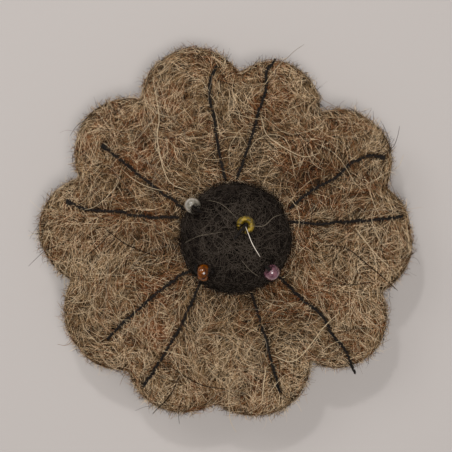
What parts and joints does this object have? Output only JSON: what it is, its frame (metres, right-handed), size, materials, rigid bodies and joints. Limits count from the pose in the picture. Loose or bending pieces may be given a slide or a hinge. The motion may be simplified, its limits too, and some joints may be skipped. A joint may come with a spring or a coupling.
{
  "type": "flower hair clip",
  "caption": "Felted wool flower with ten scalloped lobes, sewn veins, a felt ball and glass seed beads, glued to a sprung metal alligator clip",
  "frame": {"origin": "middle of the footprint, at the height of the clip's thumb tab underside, so the flower's face looks up", "axes": "+Z out of the flower's face; +X along the clip from its jaw tip to its thumb tab; +Y across the clip, the flower's upper edge as worn in the view from the front"},
  "size_m": [0.0683, 0.0676, 0.0232],
  "materials": {
    "flower_felt": "matte",
    "ball_felt": "matte",
    "backing_felt": "matte",
    "thread": "matte",
    "white_glass": "gloss",
    "yellow_glass": "gloss",
    "amber_glass": "gloss",
    "pink_glass": "gloss",
    "glue": "satin",
    "clip_steel": "polished",
    "spring_steel": "satin"
  },
  "bodies": {
    "flower": {"felt_flower": "flower_felt", "vein_thread_01": "thread", "vein_thread_02": "thread", "vein_thread_03": "thread", "vein_thread_04": "thread", "vein_thread_05": "thread", "vein_thread_06": "thread", "vein_thread_07": "thread", "vein_thread_08": "thread", "vein_thread_09": "thread", "vein_thread_10": "thread", "felt_ball": "ball_felt", "bead_white": "white_glass", "bead_yellow": "yellow_glass", "bead_amber": "amber_glass", "bead_pink": "pink_glass", "bead_thread_white": "thread", "bead_thread_yellow": "thread", "bead_thread_amber": "thread", "bead_thread_pink": "thread", "backing_felt": "backing_felt", "glue_pad": "glue", "clip_upper_arm": "clip_steel", "hinge_pin": "clip_steel", "torsion_spring": "spring_steel"},
    "jaw": {"clip_lower_arm": "clip_steel"}
  },
  "joints": [
    {"name": "clip_hinge", "type": "hinge", "parent": "flower", "child": "jaw", "pos_m": [0.009, 0, 0.005], "axis": [0, -1, 0], "range_deg": [0, 22], "stiffness_Nm_per_rad": 0.05, "springref_deg": -28.65, "deforming": ["torsion_spring"]}
  ]
}
